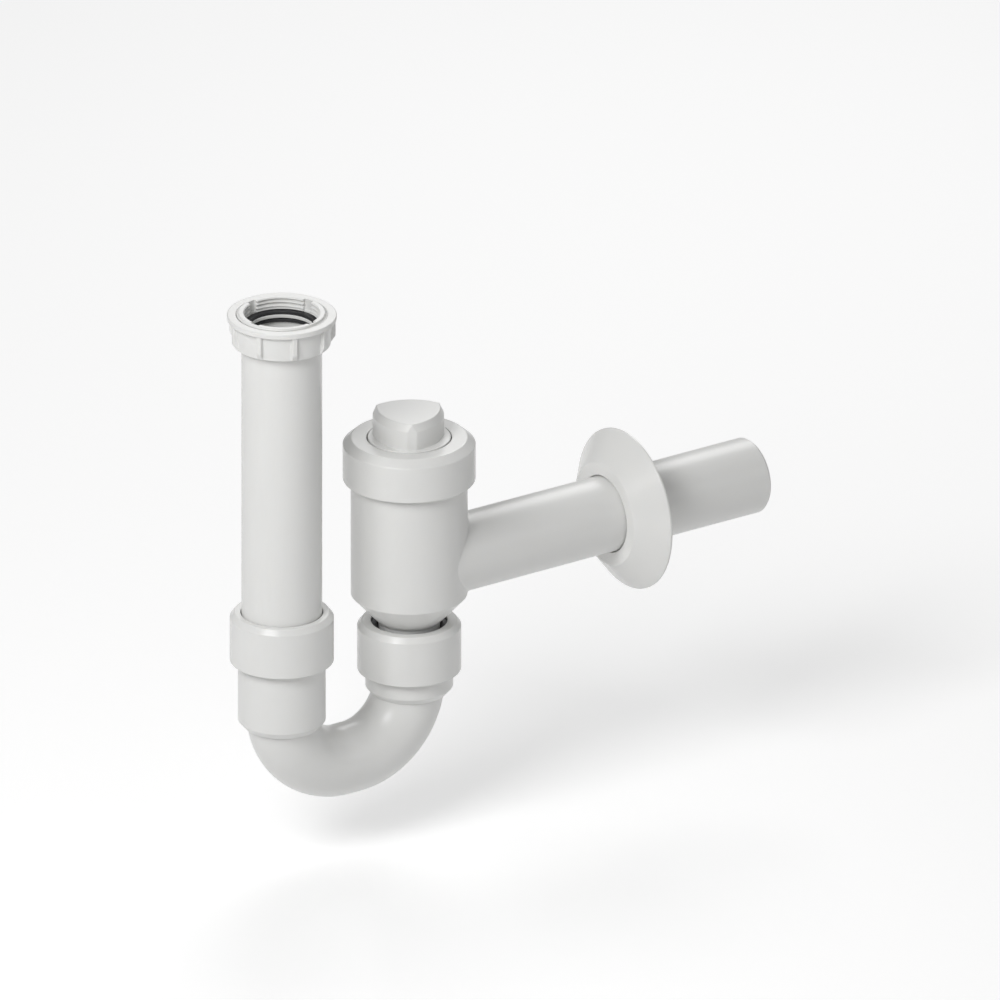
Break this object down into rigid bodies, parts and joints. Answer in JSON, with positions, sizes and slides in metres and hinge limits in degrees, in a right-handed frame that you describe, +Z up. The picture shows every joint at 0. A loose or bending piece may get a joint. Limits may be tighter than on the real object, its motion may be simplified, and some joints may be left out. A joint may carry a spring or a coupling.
{
  "type": "tubular washbasin trap",
  "caption": "U-bend washbasin trap with a union nut inlet, snap-capped lip-seal joints, a clean-out plug and a side outlet with a wall rosette.",
  "frame": {"origin": "where the outlet's axis meets the finished wall, at the centre of the rosette's back rim", "axes": "+Y along the outlet into the wall, +Z up; the inlet, the bend and the barrel stand in the plane X = -8 mm"},
  "size_m": [0.0856, 0.3173, 0.2792],
  "materials": {
    "white_plastic": "moulded polypropylene, satin gloss",
    "white_tube": "drawn polypropylene tube, satin gloss",
    "black_rubber": "soft moulded rubber"
  },
  "bodies": {
    "outlet_assembly": {"outlet_body": "white_plastic", "clean_out_cap": "white_plastic", "cap_seal": "black_rubber"},
    "rosette": {"wall_rosette": "white_plastic"},
    "plug_ring": {"plug_seal": "black_rubber"},
    "plug": {"clean_out_plug": "white_plastic"},
    "outlet_seal": {"outlet_lip_seal": "black_rubber"},
    "bend": {"u_bend": "white_plastic", "outlet_retaining_cap": "white_plastic", "inlet_retaining_cap": "white_plastic"},
    "inlet_seal": {"inlet_lip_seal": "black_rubber"},
    "inlet": {"inlet_tube": "white_tube", "union_gasket": "black_rubber"},
    "nut": {"union_nut": "white_plastic"},
    "adapter": {"adapter_ring": "white_plastic", "adapter_gasket": "black_rubber"}
  },
  "joints": [
    {"name": "bend_drop", "type": "slide", "parent": "outlet_assembly", "child": "outlet_seal", "axis": [0, 0, -1], "range_m": [0, 0.028]},
    {"name": "bend_swivel", "type": "hinge", "parent": "outlet_seal", "child": "bend", "pos_m": [-0.008, -0.1308, 0], "axis": [0, 0, 1], "range_deg": [-140, 140]},
    {"name": "inlet_turn", "type": "hinge", "parent": "bend", "child": "inlet_seal", "pos_m": [-0.008, -0.2108, 0], "axis": [0, 0, 1], "continuous": true},
    {"name": "inlet_slide", "type": "slide", "parent": "inlet_seal", "child": "inlet", "axis": [0, 0, 1], "range_m": [-0.014, 0.02]},
    {"name": "nut_turn", "type": "hinge", "parent": "inlet", "child": "nut", "pos_m": [-0.008, -0.2108, 0.1459], "axis": [0, 0, 1], "continuous": true},
    {"name": "adapter_ring_lift", "type": "slide", "parent": "nut", "child": "adapter", "axis": [0, 0, 1], "range_m": [0, 0.0511]},
    {"name": "plug_lift", "type": "slide", "parent": "outlet_assembly", "child": "plug_ring", "axis": [0, 0, 1], "range_m": [0, 0.0081]},
    {"name": "plug_turn", "type": "hinge", "parent": "plug_ring", "child": "plug", "pos_m": [-0.008, -0.1308, 0.0659], "axis": [0, 0, 1], "range_deg": [0, 720]},
    {"name": "rosette_slide", "type": "slide", "parent": "outlet_assembly", "child": "rosette", "axis": [0, 1, 0], "range_m": [-0.028, 0.06]}
  ],
  "couplings": [
    {"joint": "plug_lift", "follows": "plug_turn", "m_per_rad": 0.00063662}
  ]
}
